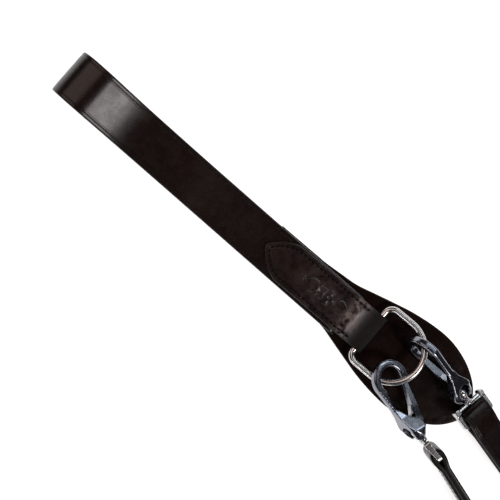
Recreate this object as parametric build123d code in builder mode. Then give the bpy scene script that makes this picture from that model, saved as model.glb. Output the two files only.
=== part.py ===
from build123d import *
import math
import os

# Girth end of a leather martingale: a girth loop, a chest pad with a dee ring,
# and two fork arms on swivel snaps.
# Millimetres, +Z up, +X from the girth loop to the chest pad. The origin is on the resting underside,
# straight below the middle of the dee ring's bar.

os.makedirs("parts", exist_ok=True)

# ---------------------------------------------------------------- driving dimensions
STRAP_WIDTH = 38.0        # 1 1/2 in girth strap
STRAP_THICK = 3.4
PAD_THICK = 3.4
CHAPE_WIDTH = 34.0
CHAPE_THICK = 2.6
LAYER_GAP = 0.1
SEWN_START = -106.5       # tip of the chape, where the sewn stack begins
STRAP_END = -20.5         # the sewn strap stops short of the dee's bar
CHAPE_DROP = (-18.0, -7.0)  # where the chape's upper leg comes down to the bar
CHAPE_SIDE = Location((0, -1.3, 0))
STRAP_LIE = Location((0, -2.65, 0), (0, 0, -0.75))  # the strap lies a little askew

LOOP_END = -308.0         # far side of the girth loop
LOOP_RADIUS = 19.5        # centre line of the loop's fold

DEE_WIRE = 2.5            # radius
DEE_HALF = 26.0           # centre line, half the inside width plus the wire radius
DEE_LEG = 21.0
DEE_CORNER = 7.0
DEE_TILT = 13.0           # the ring lies on the two snaps, not on the pad
BAR_Z = PAD_THICK + CHAPE_THICK + DEE_WIRE + LAYER_GAP

SNAP_BOWL = (45.5, -1.7)  # centre of the bowl in the snap's own plane, from the swivel ball
BOWL_INNER = 9.4
BOWL_OUTER = 15.5
SNAP_HALF_THICK = 3.1
GATE_PIVOT = (8.0, 6.0)
GATE_TIP = (36.8, 8.7)
GATE_HALF_WIDTH = 3.0
PIN_RADIUS = 1.2

BALL_RADIUS = 4.2
STEM_RADIUS = 2.6
WINDOW_RADIUS = 5.4
WINDOW_CENTRE = 1.4
EYE_NEAR = 9.8            # ball centre to the middle of the eye's near bar
EYE_FAR = 22.5            # ball centre to the middle of the eye's far bar
EYE_OUTER = 31.8
EYE_INNER = 24.8
EYE_THICK = 4.0
BAR_RADIUS = 2.0
NEAR_BAR_RADIUS = 1.7

ARM_WIDTH = 24.0          # 1 in fork arms
ARM_THICK = 3.8
ARM_LIFT = 0.2
LEFT_SLACK = 0.8          # how far the fold round the eye's bar reaches towards the swivel
RIGHT_SLACK = 4.4
EYE_LAP = 52.0            # length of the stitched double end at the eye

COIL_OUTER = 35.8
COIL_PITCH = 4.8
RING_RADIUS = 18.0        # rein ring, centre line
RING_WIRE = 2.0
RING_FOLD = 3.3           # inside radius of the strap's fold on the rein ring
RING_END = 42.0           # coil to rein ring
RING_END_WIDTH = 16.0
RING_LAP = 26.0

STITCH = (2.9, 0.9)       # length and width of one stitch
STITCH_PITCH = 4.0
STITCH_PROUD = 0.3


# ---------------------------------------------------------------- places
def heading(angle, slope=0.0):
    """A unit vector in plan at an angle from +X, sloping up by slope degrees."""
    a, s = math.radians(angle), math.radians(slope)
    return Vector(math.cos(a) * math.cos(s), math.sin(a) * math.cos(s), math.sin(s))


def snap_plane(ball, angle, slope, roll, side):
    """The snap's own plane: x runs from the swivel ball to the bowl, y towards the gate."""
    along = heading(angle + 180, slope)
    across = Vector(0, 0, 1).cross(along).normalized()
    up = along.cross(across)
    r = math.radians(roll)
    gate = across * (side * math.cos(r)) - up * math.sin(r)
    return Plane(origin=ball, x_dir=along, z_dir=along.cross(gate))


LEFT_BALL = Vector(76.5, -36.2, 16.2)
RIGHT_BALL = Vector(85.0, 9.6, 13.6)
LEFT_SNAP = snap_plane(LEFT_BALL, -25.0, 0.0, 24.0, -1)
RIGHT_SNAP = snap_plane(RIGHT_BALL, -6.0, 5.9, 70.0, 1)

# the eyes: x runs from the ball to the far bar, z is the eye's flat side
LEFT_EYE = Plane(origin=LEFT_BALL, x_dir=heading(-9.0), z_dir=heading(81.0))
RIGHT_ROLL = 20.0         # the right eye and its strap lie rolled, their -Y side up
RIGHT_ACROSS = heading(-104.0, RIGHT_ROLL)
RIGHT_EYE = Plane(origin=RIGHT_BALL, x_dir=heading(-14.0), z_dir=RIGHT_ACROSS.cross(heading(-14.0)))

LEFT_BAR = LEFT_BALL + LEFT_EYE.x_dir * EYE_FAR
RIGHT_BAR = RIGHT_BALL + RIGHT_EYE.x_dir * EYE_FAR
LEFT_ARM_ANGLE = -17.0
RIGHT_ARM_ANGLE = -14.0
LEFT_COIL_START = 78.0    # from the eye's bar to where the arm starts to coil
RIGHT_COIL_START = 94.0


# ---------------------------------------------------------------- shapes used more than once
def ribbon(plane, points, radii, thick, start, end, direction):
    """A strap of one thickness along a filleted line, extruded across its width."""
    with BuildPart() as piece:
        with BuildSketch(plane.offset(start)):
            with BuildLine():
                FilletPolyline(*points, radius=radii)
            trace(line_width=thick)
        extrude(amount=end - start, dir=direction)
    return piece.part


def keep_inside(solid, plane, outline, reach):
    """The part of a solid inside an outline that is extruded both ways from its plane."""
    with BuildPart() as piece:
        add(solid)
        with BuildSketch(plane):
            Polygon(*outline, align=None)
        extrude(amount=reach, both=True, mode=Mode.INTERSECT)
    return piece.part


def write(part, name):
    part.label = name
    export_step(part, f"parts/{name}.step")


# ---------------------------------------------------------------- chest pad
def chest_pad():
    half = STRAP_WIDTH / 2
    side = [(-62, half), (-46, 20.2), (-30, 21.8), (-14, 25.9), (2, 30.1), (18, 33.9), (36, 36.5),
            (52, 37.0), (66, 34.6), (80, 29.2), (92, 20.8), (100, 10.2), (102.6, 0)]
    with BuildPart() as pad:
        with BuildSketch():
            with BuildLine():
                right = Spline(side + [(x, -y) for x, y in side[-2::-1]],
                               tangents=[(1, 0.02), (-1, 0.02)])
                Polyline(right @ 1, (SEWN_START + 1, -half), (SEWN_START + 1, half), right @ 0)
            make_face()
        extrude(amount=PAD_THICK)
    return pad.part


# ---------------------------------------------------------------- girth loop
CHAPE_LOW = PAD_THICK + CHAPE_THICK / 2
STRAP_LOW = PAD_THICK + CHAPE_THICK + STRAP_THICK / 2
STRAP_HIGH = STRAP_LOW + STRAP_THICK + LAYER_GAP
CHAPE_HIGH = STRAP_HIGH + STRAP_THICK / 2 + CHAPE_THICK / 2


def girth_loop_strap():
    floor = STRAP_THICK / 2
    top = floor + 2 * LOOP_RADIUS + 0.4
    left = LOOP_END + STRAP_THICK / 2
    points = [(STRAP_END, STRAP_LOW), (-116, STRAP_LOW), (-150, floor), (left, floor), (left, top),
              (-278, top), (-245, 22.4), (-190, 13.2), (-131, STRAP_HIGH),
              (STRAP_END, STRAP_HIGH)]
    radii = [70, 70, LOOP_RADIUS, LOOP_RADIUS, 26, 90, 250, 200]
    side = Plane(origin=(0, 0, 0), x_dir=(1, 0, 0), z_dir=(0, -1, 0))
    half = STRAP_WIDTH / 2
    return ribbon(side, points, radii, STRAP_THICK, -half, half, (0, -1, 0)).moved(STRAP_LIE)


# ---------------------------------------------------------------- chape and its stitching
def chape_outline(inset):
    """Half outline of the chape in plan, from the ring end to the tip, with an inset for the stitching."""
    half = CHAPE_WIDTH / 2 - inset
    return [(7.0, half), (SEWN_START + 23.0 + inset * 0.2, half),
            (SEWN_START + 10.0 + inset * 0.6, half * 0.66), (SEWN_START + inset, 0)]


def ring_chape():
    fold = DEE_WIRE + LAYER_GAP + CHAPE_THICK / 2
    points = [(SEWN_START - 1, CHAPE_HIGH), (CHAPE_DROP[0], CHAPE_HIGH), (CHAPE_DROP[1], BAR_Z + fold),
              (fold, BAR_Z + fold),
              (fold, BAR_Z - fold), (SEWN_START - 1, CHAPE_LOW)]
    side = Plane(origin=(0, 0, 0), x_dir=(1, 0, 0), z_dir=(0, -1, 0))
    half = CHAPE_WIDTH / 2
    folded = ribbon(side, points, [25, 25, fold - 0.05, fold - 0.05], CHAPE_THICK, -half, half, (0, -1, 0))
    plan = chape_outline(0)
    with BuildPart() as chape:
        add(folded)
        with BuildSketch():
            with BuildLine():
                top = Line(plan[0], plan[1])
                nose = Spline([plan[1], plan[2], plan[3], (plan[2][0], -plan[2][1]),
                               (plan[1][0], -plan[1][1])], tangents=[(-1, 0), (1, 0)])
                Line(nose @ 1, (plan[0][0], -plan[0][1]))
                Line((plan[0][0], -plan[0][1]), top @ 0)
            make_face()
        extrude(amount=30, mode=Mode.INTERSECT)
    return chape.part.moved(CHAPE_SIDE)


def chape_top(x):
    """Height of the chape's upper face."""
    flat = CHAPE_HIGH + CHAPE_THICK / 2
    drop = CHAPE_HIGH - (BAR_Z + DEE_WIRE + LAYER_GAP + CHAPE_THICK / 2)
    start, end = CHAPE_DROP
    return flat - drop * min(max((x - start) / (end - start), 0), 1)


def chape_stitching():
    inset = 3.4
    plan = chape_outline(inset)
    tip = [plan[1], plan[2], plan[3], (plan[2][0], -plan[2][1]), (plan[1][0], -plan[1][1])]
    start = -10.0
    with BuildLine() as seam:
        upper = Line((start, plan[0][1]), plan[1])
        curve = Spline(tip, tangents=[(-1, 0), (1, 0)])
        Line(curve @ 1, (start, -plan[0][1]))
    seam_wire = seam.wire()
    count = round(seam_wire.length / STITCH_PITCH)
    with BuildPart() as stitches:
        for i in range(count):
            at = (i + 0.5) / count
            p = seam_wire.position_at(at)
            t = seam_wire.tangent_at(at)
            lean = Vector(t.X, t.Y, (chape_top(p.X + t.X) - chape_top(p.X - t.X)) / 2).normalized()
            spot = Plane(origin=(p.X, p.Y, chape_top(p.X)), x_dir=lean,
                         z_dir=Vector(0, 0, 1) - lean * lean.Z)
            with BuildSketch(spot.offset(-0.4)):
                SlotOverall(*STITCH)
            extrude(amount=0.4 + STITCH_PROUD)
    return stitches.part.moved(CHAPE_SIDE)


# ---------------------------------------------------------------- dee ring
def dee_ring():
    tilt = math.radians(DEE_TILT)
    flat = Plane(origin=(0, 0, BAR_Z), x_dir=(math.cos(tilt), 0, math.sin(tilt)),
                 z_dir=(-math.sin(tilt), 0, math.cos(tilt)))
    straight = DEE_HALF - DEE_CORNER
    with BuildPart() as ring:
        with BuildLine(flat) as path:
            Line((0, -straight), (0, straight))
            CenterArc((DEE_CORNER, straight), DEE_CORNER, 180, -90)
            Line((DEE_CORNER, DEE_HALF), (DEE_LEG, DEE_HALF))
            CenterArc((DEE_LEG, 0), DEE_HALF, 90, -180)
            Line((DEE_LEG, -DEE_HALF), (DEE_CORNER, -DEE_HALF))
            CenterArc((DEE_CORNER, -straight), DEE_CORNER, 270, -90)
        with BuildSketch(Plane(origin=(0, 0, BAR_Z), z_dir=(0, 1, 0))):
            Circle(DEE_WIRE)
        sweep(path=path.line)
    return ring.part


# ---------------------------------------------------------------- snap: body, gate, pin, spring
def snap_outline():
    """Outline of the spine, bowl and nose in the snap's plane."""
    nose = 124.0
    with BuildLine() as outline:
        outer = CenterArc(SNAP_BOWL, BOWL_OUTER, -106, nose + 106 - 6)
        inner = CenterArc(SNAP_BOWL, BOWL_INNER, -112, nose + 112)
        Line(outer @ 1, inner @ 1)
        back = Spline([(2, -7.0), (12, -9.4), (26, -12.6), outer @ 0],
                      tangents=[(1, -0.15), outer % 0])
        front = Spline([(6, 3.0), (13, -1.0), (20, -6.2), (27, -9.2), inner @ 0],
                       tangents=[(1, -0.45), inner % 0])
        Line(back @ 0, front @ 0)
    return outline.line


def snap_body(plane):
    stirrup = [(-5.6, 6.0), (-4.4, 8.2), (-1.0, 9.8), (4.0, 9.6), (9.0, 7.4), (16.0, 4.2),
               (24.0, SNAP_HALF_THICK)]
    side_view = stirrup + [(u, -n) for u, n in reversed(stirrup)]
    with BuildPart() as hook:
        with BuildSketch(plane):
            add(snap_outline())
            make_face()
        extrude(amount=SNAP_HALF_THICK, both=True)
        long_edges = hook.edges().filter_by(GeomType.LINE, reverse=True)
        fillet(long_edges, 1.6)
    across = Plane(origin=plane.origin, x_dir=plane.x_dir, z_dir=plane.y_dir)
    with BuildPart() as base:
        with BuildSketch(plane):
            Polygon((-5.6, -3.4), (-2.0, -5.4), (4.0, -7.6), (14.0, -9.9), (22.0, -11.4), (22.0, -7.6),
                    (14.0, -1.6), (10.5, 3.4), (9.6, 8.4), (4.0, 8.4), (-1.0, 7.2), (-5.6, 4.0), align=None)
        extrude(amount=10, both=True)
        with BuildSketch(across):
            Polygon(*side_view, align=None)
        extrude(amount=14, both=True, mode=Mode.INTERSECT)
        with BuildSketch(Plane(origin=plane.origin, x_dir=plane.y_dir, z_dir=plane.x_dir)):
            Polygon((-12, -5.5), (-5, -10), (4.2, -10), (8.4, -5.0),
                    (8.4, 5.0), (4.2, 10), (-5, 10), (-12, 5.5),
                    align=None)
        extrude(amount=30, both=True, mode=Mode.INTERSECT)
        # the end is drawn in to a rounded neck round the stem
        for u, half_w, half_n in ((-5.7, 4.4, 7.0), (-2.0, 6.8, 9.2), (3.0, 9.4, 10.6), (7.0, 14.0, 14.0),
                                  (24.0, 16.0, 14.0)):
            with BuildSketch(Plane(origin=plane.from_local_coords((u, 0, 0)), x_dir=plane.y_dir,
                                   z_dir=plane.x_dir)):
                Ellipse(half_w, half_n)
        loft(ruled=True, mode=Mode.INTERSECT)
    with BuildPart() as body:
        add(base.part)
        add(hook.part)
        # window for the swivel's ball, and a flared mouth that lets the stem lean
        with BuildSketch(across.offset(-12)):
            with Locations((WINDOW_CENTRE, 0)):
                Circle(WINDOW_RADIUS)
        extrude(amount=24, mode=Mode.SUBTRACT)
        mouth = Plane(origin=plane.origin, x_dir=plane.y_dir, z_dir=-plane.x_dir)
        with BuildSketch(mouth.offset(3.0)):
            Circle(3.65)
        with BuildSketch(mouth.offset(7.0)):
            Circle(4.75)
        loft(mode=Mode.SUBTRACT)
        # slot for the gate's root and the leaf spring
        with BuildSketch(plane.offset(-GATE_HALF_WIDTH - 0.3)):
            with Locations(GATE_PIVOT):
                Circle(3.1)
            Polygon((5.0, 6.0), (9.0, 1.9), (12.0, 1.4), (30.0, 0.6), (30.0, 14.0), (4.4, 14.0), align=None)
        extrude(amount=2 * GATE_HALF_WIDTH + 0.6, mode=Mode.SUBTRACT)
        with BuildSketch(plane.offset(-2.3)):
            with BuildLine():
                FilletPolyline(*SPRING_LINE, radius=4)
            trace(line_width=0.7)
        extrude(amount=4.6, mode=Mode.SUBTRACT)
        with BuildSketch(plane.offset(-10)):
            with Locations(GATE_PIVOT):
                Circle(PIN_RADIUS)
        extrude(amount=20, mode=Mode.SUBTRACT)
    return body.part


SPRING_LINE = [(5.6, 1.6), (12.0, 1.0), (20.0, 4.55)]


def gate_spring(plane):
    with BuildPart() as spring:
        with BuildSketch(plane.offset(-2.0)):
            with BuildLine():
                FilletPolyline(*SPRING_LINE, radius=4)
            trace(line_width=0.5)
        extrude(amount=4.0)
    return spring.part


def gate(plane):
    """Tapered gate with a ribbed thumb face."""
    (pu, pw), (tu, tw) = GATE_PIVOT, GATE_TIP
    lean = math.degrees(math.atan2(tw - pw, tu - pu))
    length = math.hypot(tu - pu, tw - pw)
    along = plane.x_dir.rotate(Axis((0, 0, 0), plane.z_dir), lean)
    own = Plane(origin=plane.from_local_coords((pu, pw, 0)), x_dir=along, z_dir=plane.z_dir)
    with BuildPart() as piece:
        with BuildSketch(own.offset(-GATE_HALF_WIDTH)):
            Circle(2.7)
            Polygon((0, -2.7), (length, -1.3), (length, 1.5), (10, 3.0), (0, 2.7), align=None)
        extrude(amount=2 * GATE_HALF_WIDTH)
        face = Plane(origin=own.origin, x_dir=own.x_dir, z_dir=own.y_dir)
        with BuildSketch(face):
            Polygon((-4, -3), (-4, 3), (10, 3), (length + 1, 2.2), (length + 1, -2.2), (10, -3), align=None)
        extrude(amount=6, both=True, mode=Mode.INTERSECT)
        # ribs across the outer face
        for i in range(9):
            u = 11.0 + 1.7 * i
            height = 3.0 - 1.5 * (u - 10) / (length - 10)
            with BuildSketch(own.offset(-GATE_HALF_WIDTH)):
                with Locations((u, height + 0.1)):
                    Circle(0.42)
            extrude(amount=2 * GATE_HALF_WIDTH, mode=Mode.SUBTRACT)
        with BuildSketch(own.offset(-GATE_HALF_WIDTH)):
            Circle(PIN_RADIUS + 0.08)
        extrude(amount=2 * GATE_HALF_WIDTH, mode=Mode.SUBTRACT)
    return piece.part


def gate_pin(plane):
    with BuildPart() as pin:
        with BuildSketch(plane.offset(-7.0)):
            with Locations(GATE_PIVOT):
                Circle(PIN_RADIUS)
        extrude(amount=14.0)
    return pin.part


# ---------------------------------------------------------------- swivel eye
def swivel_eye(plane):
    """Ball, stem and square frame in one piece; the strap's bar is the far one."""
    middle = (EYE_NEAR + EYE_FAR) / 2
    depth = EYE_FAR - EYE_NEAR
    leg = (EYE_OUTER - EYE_INNER) / 2
    with BuildPart() as eye:
        with BuildSketch(plane.offset(-EYE_THICK / 2)):
            with Locations((middle, 0)):
                RectangleRounded(depth + 2 * BAR_RADIUS, EYE_OUTER, 2.6)
                Rectangle(depth - 2 * BAR_RADIUS, EYE_INNER, mode=Mode.SUBTRACT)
        extrude(amount=EYE_THICK)
        for reach, radius in ((EYE_NEAR, NEAR_BAR_RADIUS), (EYE_FAR, BAR_RADIUS)):
            bar = Plane(origin=plane.origin + plane.x_dir * reach, x_dir=plane.x_dir, z_dir=plane.y_dir)
            with BuildSketch(bar.offset(-EYE_INNER / 2)):
                Rectangle(4 * BAR_RADIUS, 4 * BAR_RADIUS)
                Circle(radius, mode=Mode.SUBTRACT)
            extrude(amount=EYE_INNER, mode=Mode.SUBTRACT)
        # raised corner blocks at the near bar's ends
        with BuildSketch(plane.offset(-EYE_THICK / 2 - 0.7)):
            for side in (-1, 1):
                with Locations((EYE_NEAR - 0.4, side * (EYE_OUTER - leg - 1.2) / 2)):
                    RectangleRounded(5.0, leg + 1.2, 1.5)
        extrude(amount=EYE_THICK + 1.4)
        # ball, stem and shoulder, turned round the swivel's axis
        neck = math.sqrt(BALL_RADIUS ** 2 - STEM_RADIUS ** 2)
        shoulder = EYE_NEAR - BAR_RADIUS - 0.4
        with BuildSketch(plane):
            with BuildLine():
                ThreePointArc((-BALL_RADIUS, 0), (0, BALL_RADIUS), (neck, STEM_RADIUS))
                Polyline((neck, STEM_RADIUS), (shoulder, STEM_RADIUS), (shoulder, 3.4), (EYE_NEAR, 3.4),
                         (EYE_NEAR, 0), (-BALL_RADIUS, 0))
            make_face()
        revolve(axis=Axis(plane.origin, plane.x_dir), revolution_arc=360)
    return eye.part


# ---------------------------------------------------------------- fork arms
def eye_fold(plane, across, first, last, slack, lower_end, upper_end):
    """The arm's end: folded round the eye's bar at the plane's origin, doubled along +x."""
    fold = BAR_RADIUS + LAYER_GAP + ARM_THICK / 2
    ply = ARM_THICK / 2 + LAYER_GAP / 2
    points = [(lower_end, -ply), (11, -ply), (3, -fold), (-slack - fold, -fold),
              (-slack - fold, fold), (3, fold), (11, ply), (upper_end, ply)]
    radii = [14, 14, fold - 0.05, fold - 0.05, 14, 14]
    return ribbon(plane, points, radii, ARM_THICK, first, last, across)


def coil(plane):
    """S-shaped storage coil on the strap's edge: it starts at the origin along +x and winds to -y."""
    small = (COIL_OUTER - COIL_PITCH) / 2
    large = COIL_OUTER - COIL_PITCH / 2
    middle = -COIL_OUTER
    with BuildPart() as piece:
        with BuildSketch(plane):
            with BuildLine():
                CenterArc((0, middle + COIL_PITCH / 2), large, 90, -180)
                CenterArc((0, middle - small), small, 270, -180)
                CenterArc((0, middle + small), small, 270, 180)
                CenterArc((0, middle - COIL_PITCH / 2), large, 90, 180)
            trace(line_width=ARM_THICK)
        extrude(amount=ARM_WIDTH, dir=(0, 0, 1))
    return piece.part


def ring_fold(plane):
    """The far end: it tapers, rises to the ring's height and folds round the rein ring."""
    start = -2 * COIL_OUTER
    ply = (ARM_THICK + LAYER_GAP) / 2
    fold = RING_FOLD + ARM_THICK / 2
    middle = start - ply
    points = [(0, start), (RING_END - 12, start),
              (RING_END - 5, middle + fold), (RING_END + fold, middle + fold),
              (RING_END + fold, middle - fold), (RING_END - 5, middle - fold),
              (RING_END - 12, middle - ply), (RING_END - 12 - RING_LAP, middle - ply)]
    radii = [6, 6, fold - 0.05, fold - 0.05, 6, 6]
    folded = ribbon(plane, points, radii, ARM_THICK, 0, 40, (0, 0, 1))
    low = RING_RADIUS + RING_WIRE + 0.3 - RING_END_WIDTH / 2
    outline = [(-4, ARM_LIFT), (2, ARM_LIFT), (RING_END - 12, low), (RING_END + 12, low),
               (RING_END + 12, low + RING_END_WIDTH), (RING_END - 12, low + RING_END_WIDTH),
               (2, ARM_LIFT + ARM_WIDTH), (-4, ARM_LIFT + ARM_WIDTH)]
    origin = Vector(plane.origin.X, plane.origin.Y, 0)
    upright = Plane(origin=origin, x_dir=plane.x_dir, z_dir=plane.x_dir.cross(Vector(0, 0, 1)))
    return keep_inside(folded, upright, outline, 120)


def coil_plane(bar, angle, reach, side):
    """Where an arm starts to coil; side 1 winds to the right of its direction, -1 to the left."""
    start = bar + heading(angle) * reach
    return Plane(origin=(start.X, start.Y, ARM_LIFT), x_dir=heading(angle), z_dir=(0, 0, side))


LEFT_COIL = coil_plane(LEFT_BAR, LEFT_ARM_ANGLE, LEFT_COIL_START, 1)
RIGHT_COIL = coil_plane(RIGHT_BAR, RIGHT_ARM_ANGLE, RIGHT_COIL_START, -1)


def left_arm():
    """On its edge from the eye: the plies stand upright, and the strap sinks to the floor on the way."""
    flat = Plane(origin=(LEFT_BAR.X, LEFT_BAR.Y, 0), x_dir=heading(LEFT_ARM_ANGLE), z_dir=(0, 0, -1))
    ply = (ARM_THICK + LAYER_GAP) / 2
    upright = Plane(origin=flat.origin, x_dir=flat.x_dir, z_dir=flat.x_dir.cross(Vector(0, 0, 1)))
    low = LEFT_BAR.Z - ARM_WIDTH / 2
    outline = [(-14, low), (6, low), (LEFT_COIL_START, ARM_LIFT), (LEFT_COIL_START, ARM_LIFT + ARM_WIDTH),
               (6, low + ARM_WIDTH), (-14, low + ARM_WIDTH)]
    folded = eye_fold(flat, (0, 0, 1), 0, 40, LEFT_SLACK, EYE_LAP, LEFT_COIL_START)
    fold = keep_inside(folded, upright, outline, 30)
    shift = LEFT_COIL.y_dir * -ply
    start = Plane(origin=LEFT_COIL.origin + shift, x_dir=LEFT_COIL.x_dir, z_dir=LEFT_COIL.z_dir)
    with BuildPart() as arm:
        add(fold)
        add(coil(start))
        add(ring_fold(start))
    return arm.part, start


def right_arm():
    """Straight from the eye, then a twist onto its edge before the coil."""
    along = heading(RIGHT_ARM_ANGLE)
    side = Plane(origin=RIGHT_BAR, x_dir=along, z_dir=RIGHT_ACROSS)
    half = ARM_WIDTH / 2
    fold = eye_fold(side, RIGHT_ACROSS, -half, half, RIGHT_SLACK, EYE_LAP, EYE_LAP + 2)
    ply = (ARM_THICK + LAYER_GAP) / 2
    first = RIGHT_BAR + along * (EYE_LAP + 2) + side.y_dir * ply
    last = Vector(RIGHT_COIL.origin.X, RIGHT_COIL.origin.Y, ARM_LIFT + half)
    rises = [0, 0.62, 0.97, 1.0]
    with BuildPart() as twist:
        for i, rise in enumerate(rises):
            t = i / 3
            spot = first + (last - first) * t
            spot = Vector(spot.X, spot.Y, first.Z + (last.Z - first.Z) * rise)
            wide = heading(RIGHT_ARM_ANGLE - 90, RIGHT_ROLL + (90 - RIGHT_ROLL) * t)
            with BuildSketch(Plane(origin=spot, x_dir=wide, z_dir=along)):
                Rectangle(ARM_WIDTH, ARM_THICK)
        loft()
    with BuildPart() as arm:
        add(fold)
        add(twist.part)
        add(coil(RIGHT_COIL))
        add(ring_fold(RIGHT_COIL))
    return arm.part, RIGHT_COIL


def lap_stitching(plane, first, last, offset, thick):
    """Two rows of stitches through a stitched lap whose middle plane is the given one."""
    count = int((last - first) / STITCH_PITCH) + 1
    with BuildPart() as stitches:
        for row in (-offset, offset):
            for i in range(count):
                with BuildSketch(plane.offset(-thick / 2 - STITCH_PROUD)):
                    with Locations((first + i * STITCH_PITCH, row)):
                        SlotOverall(*STITCH)
                extrude(amount=thick + 2 * STITCH_PROUD)
    return stitches.part


def rein_ring(plane):
    """A welded ring that stands in the fold at the arm's far end."""
    middle = -2 * COIL_OUTER - (ARM_THICK + LAYER_GAP) / 2
    hinge = plane.from_local_coords((RING_END, middle, 0))
    sag = RING_RADIUS - math.sqrt(RING_RADIUS ** 2 - (RING_END_WIDTH / 2) ** 2)
    centre = hinge + plane.x_dir * (RING_RADIUS - sag / 2)
    height = RING_RADIUS + RING_WIRE + 0.3
    upright = Plane(origin=(centre.X, centre.Y, height), x_dir=plane.x_dir,
                    z_dir=plane.x_dir.cross(Vector(0, 0, 1)))
    with BuildPart() as ring:
        with BuildSketch(Plane(origin=upright.origin + upright.x_dir * RING_RADIUS, x_dir=upright.x_dir,
                               z_dir=upright.y_dir)):
            Circle(RING_WIRE)
        revolve(axis=Axis(upright.origin, upright.z_dir), revolution_arc=360)
    return ring.part


def ring_lap_plane(plane):
    """Middle plane of the stitched lap at the rein ring."""
    middle = -2 * COIL_OUTER - (ARM_THICK + LAYER_GAP) / 2
    spot = plane.from_local_coords((0, middle, 0))
    return Plane(origin=(spot.X, spot.Y, RING_RADIUS + RING_WIRE + 0.3), x_dir=plane.x_dir,
                 z_dir=plane.x_dir.cross(Vector(0, 0, 1)))


# ---------------------------------------------------------------- build and write
write(chest_pad(), "chest_pad")
write(girth_loop_strap(), "girth_loop_strap")
write(ring_chape(), "ring_chape")
write(chape_stitching(), "chape_stitching")
write(dee_ring(), "dee_ring")

for name, snap, eye in (("left", LEFT_SNAP, LEFT_EYE), ("right", RIGHT_SNAP, RIGHT_EYE)):
    write(snap_body(snap), f"{name}_snap_body")
    write(gate(snap), f"{name}_gate")
    write(gate_pin(snap), f"{name}_gate_pin")
    write(gate_spring(snap), f"{name}_gate_spring")
    write(swivel_eye(eye), f"{name}_swivel_eye")

lap_thick = 2 * ARM_THICK + LAYER_GAP
left_solid, left_start = left_arm()
right_solid, right_start = right_arm()
left_lap = Plane(origin=LEFT_BAR, x_dir=heading(LEFT_ARM_ANGLE, -2.9), z_dir=heading(LEFT_ARM_ANGLE - 90))
right_lap = Plane(origin=RIGHT_BAR, x_dir=RIGHT_EYE.x_dir, z_dir=RIGHT_EYE.z_dir)
for name, solid, start, lap in (("left", left_solid, left_start, left_lap),
                                ("right", right_solid, right_start, right_lap)):
    write(solid, f"{name}_arm_strap")
    write(lap_stitching(lap, 14.0, EYE_LAP - 3, ARM_WIDTH / 2 - 3.2, lap_thick),
          f"{name}_eye_end_stitching")
    write(rein_ring(start), f"{name}_rein_ring")
    write(lap_stitching(ring_lap_plane(start), RING_END - 12 - RING_LAP + 14, RING_END - 11,
                        RING_END_WIDTH / 2 - 2.6, lap_thick), f"{name}_ring_end_stitching")
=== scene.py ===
import math

import bmesh
import bpy
import numpy as np
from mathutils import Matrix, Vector


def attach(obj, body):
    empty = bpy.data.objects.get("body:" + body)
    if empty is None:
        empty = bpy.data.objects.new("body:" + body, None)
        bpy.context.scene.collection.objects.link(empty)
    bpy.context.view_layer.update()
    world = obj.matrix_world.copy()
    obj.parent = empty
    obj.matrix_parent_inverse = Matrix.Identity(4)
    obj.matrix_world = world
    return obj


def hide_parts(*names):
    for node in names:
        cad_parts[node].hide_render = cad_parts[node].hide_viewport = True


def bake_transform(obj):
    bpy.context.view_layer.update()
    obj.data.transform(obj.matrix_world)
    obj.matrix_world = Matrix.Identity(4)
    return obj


# Girth end of a leather martingale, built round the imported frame.
# Lengths in the helpers are millimetres, as in the CAD source; meshes are written in metres.

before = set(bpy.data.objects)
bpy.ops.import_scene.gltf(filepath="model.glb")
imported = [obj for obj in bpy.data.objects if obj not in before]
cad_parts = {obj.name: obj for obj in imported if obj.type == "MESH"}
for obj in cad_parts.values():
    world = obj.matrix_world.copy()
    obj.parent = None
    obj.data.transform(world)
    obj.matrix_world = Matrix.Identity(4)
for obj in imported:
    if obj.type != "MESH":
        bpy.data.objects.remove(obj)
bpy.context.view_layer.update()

MM = 0.001

# ---------------------------------------------------------------- driving sizes, the same as the CAD's
STRAP_WIDTH, STRAP_THICK = 38.0, 3.4
PAD_THICK = 3.4
CHAPE_WIDTH, CHAPE_THICK = 34.0, 2.6
LAYER_GAP = 0.1
SEWN_START = -106.5
STRAP_END = -20.5
CHAPE_DROP = (-18.0, -7.0)
CHAPE_SHIFT, STRAP_SHIFT, STRAP_TURN = -1.3, -2.65, -0.75
LOOP_END, LOOP_RADIUS = -308.0, 19.5
DEE_WIRE, DEE_HALF, DEE_LEG, DEE_CORNER, DEE_TILT = 2.5, 26.0, 21.0, 7.0, 13.0
BAR_Z = PAD_THICK + CHAPE_THICK + DEE_WIRE + LAYER_GAP

CHAPE_LOW = PAD_THICK + CHAPE_THICK / 2
STRAP_LOW = PAD_THICK + CHAPE_THICK + STRAP_THICK / 2
STRAP_HIGH = STRAP_LOW + STRAP_THICK + LAYER_GAP
CHAPE_HIGH = STRAP_HIGH + STRAP_THICK / 2 + CHAPE_THICK / 2

ARM_WIDTH, ARM_THICK, ARM_LIFT = 24.0, 3.8, 0.2
BAR_RADIUS, LEFT_SLACK, RIGHT_SLACK, EYE_LAP, EYE_FAR = 2.0, 0.8, 4.4, 52.0, 22.5
COIL_OUTER, COIL_PITCH = 35.8, 4.8
RING_RADIUS, RING_WIRE, RING_FOLD = 18.0, 2.0, 3.3
RING_END, RING_END_WIDTH, RING_LAP = 42.0, 16.0, 26.0
STITCH_LENGTH, STITCH_WIDTH, STITCH_PITCH = 2.9, 0.9, 4.0
# how far a stitch's middle lies below the leather's face, on an arm's lap and on the chape
LAP_STITCH_SINK, CHAPE_STITCH_SINK = 0.4, 0.30
# how far a layer lies from the middle of a stitched lap, and from the middle of an eye's bar
PLY, EYE_FOLD = (ARM_THICK + LAYER_GAP) / 2, BAR_RADIUS + LAYER_GAP + ARM_THICK / 2
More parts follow.
